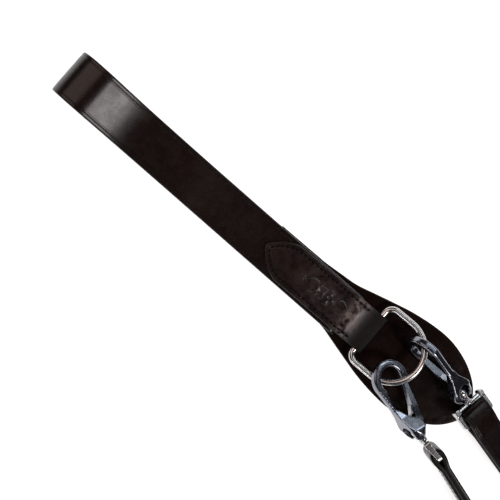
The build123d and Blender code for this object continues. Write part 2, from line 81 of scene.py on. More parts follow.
# where an arm's end parts to go round its ring, the ring's line in the coil's plane, and its middle's height
RING_NECK, RING_LINE = RING_END - 12, -2 * COIL_OUTER - PLY
RING_HEIGHT = RING_RADIUS + RING_WIRE + 0.3
# first and last stitch of an arm's laps, from the eye's bar or from the coil's start along its line,
# and how far the two rows lie from the lap's edges
EYE_STITCHES, RING_STITCHES = (14.0, EYE_LAP - 3), (RING_NECK - RING_LAP + 14, RING_NECK + 1)
EYE_ROW_INSET, RING_ROW_INSET = 3.2, 2.6
LEFT_LAP_SLOPE = -2.9

# creased lines along a strip's outline: distance from the edge, width and depth of each
STRAP_GROOVES = [(3.3, 0.28, 0.28), (4.1, 0.22, 0.12)]
PAD_GROOVES = [(4.2, 0.30, 0.30), (5.0, 0.24, 0.12)]
CHAPE_GROOVES = [(3.6, 0.85, 0.42), (1.9, 0.2, 0.06)]
ARM_GROOVES = [(2.4, 0.26, 0.22)]
# there the chape is painted paler, as wear and as a painted highlight, and painted black past it as shade
WORN_AT = 0.0885  # metres along the chape to the middle of its worn bend


def heading(angle, slope=0.0):
    a, s = math.radians(angle), math.radians(slope)
    return Vector((math.cos(a) * math.cos(s), math.sin(a) * math.cos(s), math.sin(s)))


UP = Vector((0, 0, 1))
LEFT_BALL, RIGHT_BALL = Vector((76.5, -36.2, 16.2)), Vector((85.0, 9.6, 13.6))
LEFT_BAR = LEFT_BALL + heading(-9.0) * EYE_FAR
RIGHT_BAR = RIGHT_BALL + heading(-14.0) * EYE_FAR
LEFT_ANGLE, RIGHT_ANGLE = -17.0, -14.0
# the right snap's roll, the direction across it to its gate's side, and its plane's normal
RIGHT_ROLL = 20.0
RIGHT_ACROSS = heading(RIGHT_ANGLE - 90, RIGHT_ROLL)
RIGHT_NORMAL = RIGHT_ACROSS.cross(heading(RIGHT_ANGLE))
LEFT_COIL_START, RIGHT_COIL_START = 78.0, 94.0


# ---------------------------------------------------------------- paths
def fillet_path(points, radii, bend_step=0.8, run_step=4.0):
    """Points along a polyline whose corners are rounded by arcs."""
    points = [Vector(p) for p in points]
    path = []
    last = points[0]
    for i, radius in enumerate(radii, start=1):
        before = (points[i] - points[i - 1]).normalized()
        after = (points[i + 1] - points[i]).normalized()
        turn = before.angle(after)
        reach = radius * math.tan(turn / 2)
        start, end = points[i] - before * reach, points[i] + after * reach
        path += run_points(last, start, run_step)
        inward = (after - before * before.dot(after)).normalized()
        centre = start + inward * radius
        count = max(2, math.ceil(radius * turn / bend_step))
        for k in range(count):
            a = turn * k / count
            path.append(centre - inward * (radius * math.cos(a)) + before * (radius * math.sin(a)))
        last = end
    path += run_points(last, points[-1], run_step)
    path.append(points[-1])
    return path


def run_points(start, end, step):
    """Points from start up to, but not at, end."""
    count = max(1, math.ceil((end - start).length / step))
    return [start.lerp(end, k / count) for k in range(count)]


def arc_points(centre, radius, first, sweep, step=1.0):
    """Points on an arc in a plane, angles in degrees, without the last one."""
    count = math.ceil(abs(math.radians(sweep)) * radius / step)
    made = []
    for k in range(count):
        a = math.radians(first + sweep * k / count)
        made.append(Vector((centre[0] + radius * math.cos(a), centre[1] + radius * math.sin(a))))
    return made


def between(value, xs, ys):
    return float(np.interp(value, xs, ys))


class Station:
    """One cross-section of a strap: middle, width direction, outward normal, half width, distance along."""

    def __init__(self, middle, wide, half):
        self.middle, self.wide, self.half = middle, wide.normalized(), half
        self.normal, self.along = UP, 0.0


def finish_stations(stations):
    """Tangents from the neighbours, normals square to them, distances along."""
    for i, st in enumerate(stations):
        before = stations[max(i - 1, 0)].middle
        after = stations[min(i + 1, len(stations) - 1)].middle
        tangent = (after - before).normalized()
        st.wide = (st.wide - tangent * st.wide.dot(tangent)).normalized()
        st.normal = tangent.cross(st.wide)
        if i:
            st.along = stations[i - 1].along + (st.middle - stations[i - 1].middle).length
    return stations


# ---------------------------------------------------------------- leather strips
# distances from the edge where the cross-section has a vertex
EDGE_STEPS = [0, 0.06, 0.2, 0.45, 0.8, 1.2, 1.7, 2.2, 2.6, 2.9, 3.2, 3.5, 3.8, 4.2, 4.8, 5.8, 7.2]


def across_shares(half, step):
    """Where the vertices lie across a strip, from -1 to 1, close together near its edges."""
    inner = EDGE_STEPS[-1]
    shares = [1 - e / half for e in EDGE_STEPS]
    count = max(1, round((half - inner) / step))
    shares += [(1 - inner / half) * (1 - k / count) for k in range(1, count + 1)]
    return [-s for s in shares] + shares[-2::-1]


def outline_distance(points, outline):
    """Distance of each flat point from a closed outline."""
    a = np.array(outline)
    b = np.roll(a, -1, axis=0)
    d = b - a
    length = np.maximum((d ** 2).sum(1), 1e-12)
    found = np.empty(len(points))
    for i in range(0, len(points), 2000):
        p = points[i:i + 2000, None, :]
        t = np.clip(((p - a) * d).sum(2) / length, 0, 1)
        near = a + t[..., None] * d
        found[i:i + 2000] = np.sqrt(((p - near) ** 2).sum(2)).min(1)
    return found


def strip(name, stations, thick, grooves, material, body, node, step=2.5, crown=0.15, relief=None,
          round_width=1.3):
    """A leather strip. Its face rounds off towards its whole outline and has grooves along it."""
    shares = across_shares(max(st.half for st in stations), step)
    flat = np.array([(st.along, st.half * s) for st in stations for s in shares])
    outline = [(st.along, st.half) for st in stations] + [(st.along, -st.half) for st in reversed(stations)]
    depth = outline_distance(flat, outline)
    half = thick / 2
    wall = 0.3  # half height of the strip's upright edge
    rounding = np.sqrt(np.clip(1 - (1 - np.clip(depth / round_width, 0, 1)) ** 2, 0, 1))
    top = wall + (half - wall) * rounding
    bottom = wall + (half - wall) * np.clip(rounding * 1.25, 0, 1)
    swell = np.clip(depth / 6, 0, 1)
    top = top + crown * (swell * (2 - swell) - 1) * np.clip(depth / round_width, 0, 1)
    for place, width, deep in grooves:
        top = top - deep * np.exp(-((depth - place) / width) ** 2)
    if relief is not None:
        top = top + relief(flat[:, 0], flat[:, 1])
    columns = len(shares)
    mesh = bmesh.new()
    along, edge, face = (mesh.verts.layers.float.new(n) for n in ("along", "edge", "face"))
    layers = []
    for sign, heights in ((1, top), (-1, bottom)):
        layer = []
        for i, st in enumerate(stations):
            row = []
            for k, s in enumerate(shares):
                at = st.middle + st.wide * (st.half * s) + st.normal * (sign * heights[i * columns + k])
                row.append(mesh.verts.new(at * MM))
            layer.append(row)
        layers.append(layer)
    upper, lower = layers
    rows = len(stations)
    for i in range(rows - 1):
        for k in range(columns - 1):
            mesh.faces.new((upper[i][k], upper[i + 1][k], upper[i + 1][k + 1], upper[i][k + 1]))
            mesh.faces.new((lower[i][k], lower[i][k + 1], lower[i + 1][k + 1], lower[i + 1][k]))
        for k in (0, columns - 1):
            side = (upper[i][k], lower[i][k], lower[i + 1][k], upper[i + 1][k])
            mesh.faces.new(side if k == 0 else side[::-1])
    for i in (0, rows - 1):
        for k in range(columns - 1):
            end = (upper[i][k], upper[i][k + 1], lower[i][k + 1], lower[i][k])
            mesh.faces.new(end if i == 0 else end[::-1])
    for value, layer in ((1.0, upper), (0.0, lower)):
        for i in range(rows):
            for k in range(columns):
                v = layer[i][k]
                v[along] = stations[i].along * MM
                v[edge] = depth[i * columns + k]
                v[face] = value
    bmesh.ops.remove_doubles(mesh, verts=mesh.verts, dist=1e-6)
    bmesh.ops.recalc_face_normals(mesh, faces=mesh.faces)
    return piece_from(mesh, name, material, body, node)


def piece_from(mesh, name, material, body, node):
    """Turns a bmesh into a piece that rides on a body and stands for a CAD node."""
    data = bpy.data.meshes.new(name)
    mesh.to_mesh(data)
    mesh.free()
    data.polygons.foreach_set("use_smooth", [True] * len(data.polygons))
    data.materials.append(material)
    piece = bpy.data.objects.new(name, data)
    bpy.context.scene.collection.objects.link(piece)
    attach(piece, body)
    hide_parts(node)
    return piece


# ---------------------------------------------------------------- shader helpers
class Shader:
    """A node material with short ways to add and join nodes."""

    def __init__(self, name):
        self.material = bpy.data.materials.new(name)
        self.material.use_nodes = True
        self.nodes = self.material.node_tree.nodes
        self.links = self.material.node_tree.links
        self.main = self.nodes["Principled BSDF"]
        self.place = self.nodes.new("ShaderNodeTexCoord").outputs["Object"]

    def put(self, socket, value):
        if isinstance(value, bpy.types.NodeSocket):
            self.links.new(value, socket)
        else:
            socket.default_value = value

    def attribute(self, name):
        node = self.nodes.new("ShaderNodeAttribute")
        node.attribute_name = name
        return node.outputs["Fac"]

    def noise(self, scale, detail=3.0, rough=0.55, stretch=None):
        node = self.nodes.new("ShaderNodeTexNoise")
        node.inputs["Scale"].default_value = scale
        node.inputs["Detail"].default_value = detail
        node.inputs["Roughness"].default_value = rough
        place = self.place
        if stretch:
            mapping = self.nodes.new("ShaderNodeMapping")
            mapping.inputs["Scale"].default_value = stretch
            self.links.new(self.place, mapping.inputs["Vector"])
            place = mapping.outputs["Vector"]
        self.links.new(place, node.inputs["Vector"])
        return node.outputs["Fac"]

    def cells(self, scale):
        node = self.nodes.new("ShaderNodeTexVoronoi")
        node.inputs["Scale"].default_value = scale
        self.links.new(self.place, node.inputs["Vector"])
        return node.outputs["Distance"]

    def math(self, operation, a, b=0.0):
        node = self.nodes.new("ShaderNodeMath")
        node.operation = operation
        self.put(node.inputs[0], a)
        self.put(node.inputs[1], b)
        return node.outputs[0]

    def spread(self, value, low, high, to_low=0.0, to_high=1.0):
        node = self.nodes.new("ShaderNodeMapRange")
        node.interpolation_type = "SMOOTHSTEP"
        self.put(node.inputs["Value"], value)
        node.inputs["From Min"].default_value = low
        node.inputs["From Max"].default_value = high
        node.inputs["To Min"].default_value = to_low
        node.inputs["To Max"].default_value = to_high
        return node.outputs["Result"]

    def mix(self, share, a, b):
        node = self.nodes.new("ShaderNodeMix")
        node.data_type = "RGBA"
        self.put(node.inputs["Factor"], share)
        self.put(node.inputs["A"], a)
        self.put(node.inputs["B"], b)
        return node.outputs["Result"]

    def bump(self, height, strength, distance, under=None):
        node = self.nodes.new("ShaderNodeBump")
        node.inputs["Strength"].default_value = strength
        node.inputs["Distance"].default_value = distance
        self.links.new(height, node.inputs["Height"])
        if under is not None:
            self.links.new(under, node.inputs["Normal"])
        return node.outputs["Normal"]


FLESH_DARK, FLESH_LIGHT = (0.020, 0.0115, 0.008, 1), (0.040, 0.024, 0.017, 1)
# the first: greyed, worn leather, pale enough to be a painted highlight too; the second: painted shade, near
# black, on the fold round the dee's bar
WORN_AND_HIGHLIGHT_SKIN, BEND_PAINTED_SHADE = (0.17, 0.13, 0.12, 1), (0.004, 0.002, 0.0015, 1)
BURNISHED_EDGE = (0.0035, 0.0026, 0.0024, 1)


def leather(name, dark, light, gloss, shine, worn_at=None):
    """Waxed bridle leather: fine pores, cloudy tone, burnished edge and a rougher, paler flesh side."""
    s = Shader(name)
    face, edge = s.attribute("face"), s.attribute("edge")
    grain_side = s.spread(face, 0.45, 0.55)
    tone = s.mix(s.spread(s.noise(38, 4), 0.35, 0.7), dark, light)
    flesh = s.mix(s.spread(s.noise(900, 5, 0.7), 0.35, 0.65), FLESH_DARK, FLESH_LIGHT)
    skin = s.mix(grain_side, flesh, tone)
    wear_and_sheen = 0.0
    if worn_at:
        skin, wear_and_sheen = worn_skin_and_painted_light(s, skin, face, worn_at)
    burnish = s.spread(edge, 0.0, 0.9, 1.0, 0.0)
    s.put(s.main.inputs["Base Color"], s.mix(burnish, skin, BURNISHED_EDGE))
    scuffs = s.noise(120, 5, 0.65)
    rough = s.math("ADD", s.spread(scuffs, 0.3, 0.75, gloss - 0.03, gloss + 0.05),
                   s.spread(face, 0.45, 0.55, 0.25, 0.0))
    rough = s.math("SUBTRACT", rough, s.math("MULTIPLY", burnish, 0.06))
    s.put(s.main.inputs["Roughness"], s.math("ADD", rough, wear_and_sheen))
    s.main.inputs["Specular IOR Level"].default_value = shine
    waves = s.bump(s.noise(45, 2), 0.06, 0.0006)
    pores = s.math("ADD", s.math("MULTIPLY", s.cells(1500), 0.6),
                   s.math("MULTIPLY", s.noise(2300, 2), 0.4))
    s.put(s.main.inputs["Normal"], s.bump(pores, 0.30, 0.00012, waves))
    return s.material


def worn_skin_and_painted_light(s, skin, face, worn_at):
    """Greyed, cracked worn patches where the leather bends, pale enough to be a painted highlight too, and
    fainter before it as a painted sheen; dull and painted black past it, as shade.

    Gives the new colour and how much rougher it is."""
    along = s.attribute("along")
    near = s.math("ABSOLUTE", s.math("SUBTRACT", along, worn_at))
    patches = s.spread(s.noise(150, 5, 0.7), 0.40, 0.62)
    # a faint painted sheen along the chape before the bend
    broad_sheen = s.math("MULTIPLY", s.spread(along, 0.02, 0.05, 0.03, 0.11),
                   s.spread(along, 0.088, 0.092, 1.0, 0.0))
    wear_and_sheen = s.math("MULTIPLY", s.math("ADD", s.spread(near, 0.003, 0.010, 0.8, 0.0), broad_sheen), patches)
    wear_and_sheen = s.math("MULTIPLY", wear_and_sheen, face)
    # past the bend the chape is painted near black: painted shade where it goes down round the dee's bar
    bend = s.spread(along, worn_at + 0.001, worn_at + 0.015)
    skin = s.mix(bend, s.mix(wear_and_sheen, skin, WORN_AND_HIGHLIGHT_SKIN), BEND_PAINTED_SHADE)
    return skin, s.math("ADD", s.math("MULTIPLY", wear_and_sheen, 0.2), s.math("MULTIPLY", bend, 0.65))


def nickel(name, tint, low, high):
    """Polished nickel plate, slightly uneven, with faint handling marks."""
    s = Shader(name)
    s.main.inputs["Metallic"].default_value = 1.0
    s.put(s.main.inputs["Base Color"], s.mix(s.spread(s.noise(90, 3), 0.3, 0.7), tint,
                                             tuple(c * 0.86 for c in tint[:3]) + (1,)))
    marks = s.noise(420, 6, 0.7, (1.0, 0.25, 1.0))
    s.put(s.main.inputs["Roughness"], s.spread(marks, 0.35, 0.75, low, high))
    waves = s.bump(s.noise(80, 2), 0.05, 0.0008)
    s.put(s.main.inputs["Normal"], s.bump(marks, 0.02, 0.0001, waves))
    return s.material


def thread(name, colour, dark):
    """Waxed linen thread with its two-ply twist."""
    s = Shader(name)
    twist = s.noise(2600, 3, 0.6, (1.0, 1.0, 0.4))
    s.put(s.main.inputs["Base Color"], s.mix(s.spread(twist, 0.35, 0.7), dark, colour))
    s.main.inputs["Roughness"].default_value = 0.5
    s.main.inputs["Specular IOR Level"].default_value = 0.12
    s.put(s.main.inputs["Normal"], s.bump(twist, 0.5, 0.0002))
    return s.material


# ---------------------------------------------------------------- girth strap, pad and chape
def side_stations(points, radii, half, bend_step=0.8, run_step=4.0):
    """Stations of a strip whose path lies in the XZ plane."""
    path = fillet_path([(x, 0, z) for x, z in points], radii, bend_step, run_step)
    return finish_stations([Station(p, Vector((0, 1, 0)), half) for p in path])


def moved(stations, shift, turn=0.0):
    """The stations turned about the origin in plan, then shifted sideways."""
    c, s = math.cos(math.radians(turn)), math.sin(math.radians(turn))
    for st in stations:
        for v in (st.middle, st.wide, st.normal):
            v.x, v.y = c * v.x - s * v.y, s * v.x + c * v.y
        st.middle.y += shift
    return stations


def girth_loop(material):
    low = STRAP_THICK / 2
    top = low + 2 * LOOP_RADIUS + 0.4
    left = LOOP_END + STRAP_THICK / 2
    points = [(STRAP_END, STRAP_LOW), (-116, STRAP_LOW), (-150, low), (left, low), (left, top),
              (-278, top), (-245, 22.4), (-190, 13.2), (-131, STRAP_HIGH),
              (STRAP_END, STRAP_HIGH)]
    radii = [70, 70, LOOP_RADIUS, LOOP_RADIUS, 26, 90, 250, 200]
    stations = moved(side_stations(points, radii, STRAP_WIDTH / 2), STRAP_SHIFT, STRAP_TURN)
    return strip("girth_loop_strap", stations, STRAP_THICK, STRAP_GROOVES, material,
                 "girth_strap", "girth_loop_strap")


PAD_SIDE = [(-62, 19.0), (-46, 20.2), (-30, 21.8), (-14, 25.9), (2, 30.1), (18, 33.9), (36, 36.5),
            (52, 37.0), (66, 34.6), (80, 29.2), (92, 20.8), (100, 10.2), (102.6, 0)]


def curve_through(points, per_span):
    """A Catmull-Rom curve through flat points."""
    made = []
    for i in range(1, len(points) - 2):
        p0, p1, p2, p3 = (np.array(points[i + k], float) for k in (-1, 0, 1, 2))
        for k in range(per_span):
            t = k / per_span
            made.append(0.5 * (2 * p1 + (p2 - p0) * t + (2 * p0 - 5 * p1 + 4 * p2 - p3) * t ** 2
                               + (3 * p1 - p0 - 3 * p2 + p3) * t ** 3))
    made.append(np.array(points[-2], float))
    return made


def chest_pad(material):
    start = SEWN_START + 1
    straight = [(x, STRAP_WIDTH / 2) for x in np.arange(start, -64, 3.0)]
    side = [(-78, 19.0)] + PAD_SIDE
    curve = curve_through(side + [(side[-2][0], -side[-2][1])], 9)
    outline = straight + [(float(x), max(float(y), 0.0)) for x, y in curve]
    stations = [Station(Vector((x, 0, PAD_THICK / 2)), Vector((0, 1, 0)), max(y, 0.001)) for x, y in outline]
    return strip("chest_pad", finish_stations(stations), PAD_THICK, PAD_GROOVES, material,
                 "girth_strap", "chest_pad", step=4.0)


def chape_path():
    fold = DEE_WIRE + LAYER_GAP + CHAPE_THICK / 2
    points = [(SEWN_START, CHAPE_HIGH), (CHAPE_DROP[0], CHAPE_HIGH), (CHAPE_DROP[1], BAR_Z + fold),
              (fold, BAR_Z + fold), (fold, BAR_Z - fold), (SEWN_START, CHAPE_LOW)]
    stations = side_stations(points, [25, 25, fold - 0.05, fold - 0.05], CHAPE_WIDTH / 2, 0.5, 0.6)
    return moved(stations, CHAPE_SHIFT)


TIP_LENGTH = 23.0
TIP_POWER = 1.41


def tip_width(inward, half):
    """Half width of the pointed end at a distance in from its tip."""
    share = min(max(1 - inward / TIP_LENGTH, 0.0), 1.0)
    return half * (1 - share ** TIP_POWER) ** (1 / TIP_POWER)


ORNAMENT_AT = 62.0


def ornament(x, y):
    """Height of the pressed ornament: a five-petal rosette between two veined leaves, in a shallow oval."""
    dx = x - ORNAMENT_AT
    side = np.abs(dx)
    r, turn = np.hypot(dx, y), np.arctan2(y, dx)
    rim = 6.2 * (1 + 0.16 * np.cos(5 * turn))
    petals = np.clip((rim - r) / 1.1, 0, 1) - 0.8 * np.exp(-((r - 2.1) / 0.6) ** 2)
    veins = np.exp(-(np.sin(2.5 * turn + math.pi / 2) * r / 0.7) ** 2) * np.clip((r - 2.8) / 0.8, 0, 1)
    share = np.clip((side - 7.4) / 15.0, 0, 1)
    leaf_edge = 5.8 * np.sin(math.pi * share ** 0.75)
    leaf = np.clip((leaf_edge - np.abs(y)) / 1.1, 0, 1) * (share > 0) * (share < 1)
    leaf = leaf - 0.7 * leaf * np.exp(-(y / 0.6) ** 2)
    leaf = leaf - 0.45 * leaf * np.exp(-(np.sin((side - np.abs(y) * 0.8) * 1.5) / 0.35) ** 2)
    ring = np.exp(-((r - rim - 0.8) / 0.6) ** 2)
    round_leaf = np.exp(-((np.abs(y) - leaf_edge - 0.7) / 0.6) ** 2) * (share > 0) * (share < 1)
    inside = np.clip((1.08 - np.sqrt((dx / 27.0) ** 2 + (y / 11.5) ** 2)) / 0.34, 0, 1)
    bowl = -0.55 * inside ** 2 * (3 - 2 * inside)
    return 0.70 * petals - 0.45 * petals * veins + 0.75 * leaf - 0.42 * ring - 0.40 * round_leaf + bowl


def creases(x, y):
    """Soft wrinkles where the chape bends down to the ring, and the swell before them."""
    wrinkle = 0.06 * np.sin(x * 1.55 + 1.6 * np.sin(y * 0.33)) * np.exp(-((x - 92) / 5) ** 2)
    swell = 0.9 * np.exp(-((x - 86 - 0.12 * y) / 5.5) ** 2) * np.clip(1.15 - np.abs(y) / 13, 0, 1)
    return wrinkle * (0.4 + 0.6 * np.sin(y * 0.42 + 1.0)) + swell


def ring_chape(material):
    stations = chape_path()
    total = stations[-1].along
    for st in stations:
        st.half = max(tip_width(min(st.along, total - st.along), CHAPE_WIDTH / 2), 0.001)
    return strip("ring_chape", stations, CHAPE_THICK, CHAPE_GROOVES, material,
                 "girth_strap", "ring_chape", step=0.8, crown=0.25,
                 relief=lambda x, y: np.where(x < total / 2, ornament(x, y) + creases(x, y), 0.0),
                 round_width=1.1)


# ---------------------------------------------------------------- stitches
def add_stitch(mesh, middle, along, normal, length, width, slant):
    """One thread stitch: a slanted, arched length of thread whose ends go down into their holes."""
    side = normal.cross(along)
    turned = (along * math.cos(slant) + side * math.sin(slant)).normalized()
    across = normal.cross(turned)
    steps, sides = 10, 10
    rings = []
    for i in range(steps + 1):
        t = i / steps * 2 - 1
        lift = 0.5 * (1 - abs(t) ** 3.5) - 0.12
        thin = 1 - 0.35 * abs(t) ** 4
        centre = middle + turned * (t * length / 2) + normal * (lift * width * 0.55)
        ring = []
        for k in range(sides):
            a = 2 * math.pi * k / sides
            twist = 1 + 0.10 * math.cos(2 * a + t * 9)
            offset = across * (math.cos(a) * width / 2 * thin * twist) + normal * (
                math.sin(a) * width * 0.42 * thin * twist)
            ring.append(mesh.verts.new((centre + offset) * MM))
        rings.append(ring)
    for lower, upper in zip(rings, rings[1:]):
        for k in range(sides):
            mesh.faces.new((lower[k], lower[(k + 1) % sides], upper[(k + 1) % sides], upper[k]))
    mesh.faces.new(rings[0][::-1])
    mesh.faces.new(rings[-1])


def along_path(stations, distance):
    """Middle, tangent and normal at a distance along a strip."""
    i = 1
    while i < len(stations) - 1 and stations[i].along < distance:
        i += 1
    a, b = stations[i - 1], stations[i]
    t = (distance - a.along) / max(b.along - a.along, 1e-9)
    tangent = (b.middle - a.middle).normalized()
    return a.middle.lerp(b.middle, t), tangent, a.normal.lerp(b.normal, t).normalized()


def chape_seam():
    """Place and direction of each stitch, one each STITCH_PITCH, from ring end to tip and back."""
    inset, end = 3.6, 96.5
    half = CHAPE_WIDTH / 2
    outline = [(x, tip_width(x, half)) for x in np.arange(end, inset, -0.25)]
    inner = []
    for i in range(1, len(outline) - 1):
        d = np.array(outline[i + 1]) - np.array(outline[i - 1])
        n = np.array((-d[1], d[0])) / max(np.hypot(*d), 1e-9)
        p = np.array(outline[i]) + n * inset * (1 if n[1] < 0 else -1)
        if p[1] > 0.0:
            inner.append(p)
    line = np.array(inner + [(inset * 1.25, 0.0)] + [(p[0], -p[1]) for p in reversed(inner)])
    gaps = np.hypot(*np.diff(line, axis=0).T)
    where = np.concatenate([[0], np.cumsum(gaps)])
    count = round(where[-1] / STITCH_PITCH)
    places = (np.arange(count) + 0.5) * where[-1] / count

    def at(place):
        return np.array([np.interp(place, where, line[:, 0]), np.interp(place, where, line[:, 1])])

    return [(*at(p), *(at(p + 0.5) - at(p - 0.5))) for p in places]


def chape_stitching(material):
    stations = chape_path()
    wide = Vector((0, 1, 0))
    mesh = bmesh.new()
    for x, y, dx, dy in chape_seam():
        middle, tangent, normal = along_path(stations, x)
        along = (tangent * dx + wide * dy).normalized()
        spot = middle + wide * y + normal * (CHAPE_THICK / 2 - CHAPE_STITCH_SINK)
        add_stitch(mesh, spot, along, normal, STITCH_LENGTH + 0.2, STITCH_WIDTH + 0.55, 0.22)
    return piece_from(mesh, "chape_stitching", material, "girth_strap", "chape_stitching")


# ---------------------------------------------------------------- fork arms
def fold_path(slack, end):
    """Flat points from the lap's end, round the eye's bar, and out along the arm."""
    fold = EYE_FOLD
    points = [(EYE_LAP, -PLY, 0), (11, -PLY, 0), (3, -fold, 0), (-slack - fold, -fold, 0),
              (-slack - fold, fold, 0), (3, fold, 0), (11, PLY, 0), (end, PLY, 0)]
    return fillet_path(points, [14, 14, fold - 0.05, fold - 0.05, 14, 14], 0.5, 2.5)


def coil_path():
    """Flat points of the storage coil, starting at the origin along +x and winding to -y."""
    small = (COIL_OUTER - COIL_PITCH) / 2
    large = COIL_OUTER - COIL_PITCH / 2
    middle = -COIL_OUTER
    return (arc_points((0, middle + COIL_PITCH / 2), large, 90, -180)
            + arc_points((0, middle - small), small, 270, -180)
            + arc_points((0, middle + small), small, 270, 180)
            + arc_points((0, middle - COIL_PITCH / 2), large, 90, 180))


def ring_path():
    """Flat points from the coil's end to the rein ring and back along the lap."""
    start, middle = -2 * COIL_OUTER, RING_LINE
    fold = RING_FOLD + ARM_THICK / 2
    points = [(0, start, 0), (RING_NECK, start, 0), (RING_END - 5, middle + fold, 0),
              (RING_END + fold, middle + fold, 0), (RING_END + fold, middle - fold, 0),
              (RING_END - 5, middle - fold, 0), (RING_NECK, middle - PLY, 0),
              (RING_NECK - RING_LAP, middle - PLY, 0)]
    return fillet_path(points, [6, 6, fold - 0.05, fold - 0.05, 6, 6], 0.5, 2.0)


def stored_stations(origin, along, side, wide):
    """Stations of the coil and the rein ring's fold; side is the plane's +y direction."""
    height = ARM_LIFT + ARM_WIDTH / 2
    narrowing = (2, RING_NECK)
    made = []
    for p in coil_path():
        spot = origin + along * p.x + side * p.y
        made.append(Station(Vector((spot.x, spot.y, height)), wide, ARM_WIDTH / 2))
    for p in ring_path():
        spot = origin + along * p.x + side * p.y
        z = between(p.x, narrowing, (height, RING_HEIGHT))
        half = between(p.x, narrowing, (ARM_WIDTH / 2, RING_END_WIDTH / 2))
        made.append(Station(Vector((spot.x, spot.y, z)), wide, half))
    return made


def coil_origin(side):
    """Where an arm starts to coil, its direction, and the coil plane's +y direction."""
    along = heading(LEFT_ANGLE if side == "left" else RIGHT_ANGLE)
    right = Vector((along.y, -along.x, 0))
    if side == "left":
        return LEFT_BAR + along * LEFT_COIL_START + right * PLY, along, -right
    return RIGHT_BAR + along * RIGHT_COIL_START, along, right


def left_arm_stations():
    origin, along, left = coil_origin("left")
    made = []
    for p in fold_path(LEFT_SLACK, LEFT_COIL_START - 0.5):
        z = between(p.x, (6, LEFT_COIL_START), (LEFT_BAR.z, ARM_LIFT + ARM_WIDTH / 2))
        spot = LEFT_BAR + along * p.x - left * p.y
        made.append(Station(Vector((spot.x, spot.y, z)), UP, ARM_WIDTH / 2))
    made += stored_stations(origin, along, left, UP)
    return finish_stations(made)


def right_arm_stations():
    origin, along, right = coil_origin("right")
    made = []
    for p in fold_path(RIGHT_SLACK, EYE_LAP + 2):
        made.append(Station(RIGHT_BAR + along * p.x + RIGHT_NORMAL * p.y, -RIGHT_ACROSS, ARM_WIDTH / 2))
    first = made[-1].middle
    last = Vector((origin.x, origin.y, ARM_LIFT + ARM_WIDTH / 2))
    steps = 24
    for i in range(1, steps):
        t = i / steps
        spot = first.lerp(last, t)
        rise = between(t, (0, 1 / 3, 2 / 3, 1), (0, 0.62, 0.97, 1.0))
        spot.z = first.z + (last.z - first.z) * rise
        wide = -heading(RIGHT_ANGLE - 90, RIGHT_ROLL + (90 - RIGHT_ROLL) * t)
        made.append(Station(spot, wide, ARM_WIDTH / 2))
    made += stored_stations(origin, along, right, -UP)
    return finish_stations(made)


def arm(name, stations, material):
    return strip(name, stations, ARM_THICK, ARM_GROOVES, material, name.split("_")[0] + "_arm", name,
                 crown=0.12)


def lap_stitching(name, origin, along, normal, span, offset, material, body):
    """Rows of stitches on both faces of a stitched lap, between the two distances of its span."""
    across = normal.cross(along)
    thick = 2 * ARM_THICK + LAYER_GAP
    first, last = span
    mesh = bmesh.new()
    count = int((last - first) / STITCH_PITCH) + 1
    for face in (1, -1):
        for row in (-offset, offset):
            for i in range(count):
                spot = origin + along * (first + i * STITCH_PITCH) + across * row
                spot = spot + normal * (face * (thick / 2 - LAP_STITCH_SINK))
                add_stitch(mesh, spot, along, normal * face, STITCH_LENGTH, STITCH_WIDTH, 0.16)
    return piece_from(mesh, name, material, body, name)


def arm_stitching(material):
    lap_stitching("left_eye_end_stitching", LEFT_BAR, heading(LEFT_ANGLE, LEFT_LAP_SLOPE),
                  heading(LEFT_ANGLE - 90), EYE_STITCHES, ARM_WIDTH / 2 - EYE_ROW_INSET, material, "left_arm")
    lap_stitching("right_eye_end_stitching", RIGHT_BAR, heading(RIGHT_ANGLE), RIGHT_NORMAL,
                  EYE_STITCHES, ARM_WIDTH / 2 - EYE_ROW_INSET, material, "right_arm")
    for side in ("left", "right"):
        origin, along, across = coil_origin(side)
        spot = origin + across * RING_LINE
        spot.z = RING_HEIGHT
        lap_stitching(f"{side}_ring_end_stitching", spot, along, across, RING_STITCHES,
                      RING_END_WIDTH / 2 - RING_ROW_INSET, material, f"{side}_arm")


# ---------------------------------------------------------------- metal
def tube(name, path, radius, material, body):
    """A round wire along a closed, flat path, which stands for the CAD node of its name."""
    sides = 32
    normal = tube_normal(path)
    mesh = bmesh.new()
    count = len(path)
    rings = []
    for i, p in enumerate(path):
        tangent = (path[(i + 1) % count] - path[(i - 1) % count]).normalized()
        side = tangent.cross(normal).normalized()
        other = tangent.cross(side)
        ring = []
        for k in range(sides):
            a = 2 * math.pi * k / sides
            spot = p + side * (radius * math.cos(a)) + other * (radius * math.sin(a))
            ring.append(mesh.verts.new(spot * MM))
        rings.append(ring)
    for i in range(count):
        a, b = rings[i], rings[(i + 1) % count]
        for k in range(sides):
            mesh.faces.new((a[k], a[(k + 1) % sides], b[(k + 1) % sides], b[k]))
    bmesh.ops.recalc_face_normals(mesh, faces=mesh.faces)
    return piece_from(mesh, name, material, body, name)


def tube_normal(path):
    """The normal of the flat plane that a closed path lies in."""
    middle = sum(path, Vector()) / len(path)
    return (path[0] - middle).cross(path[len(path) // 4] - middle).normalized()


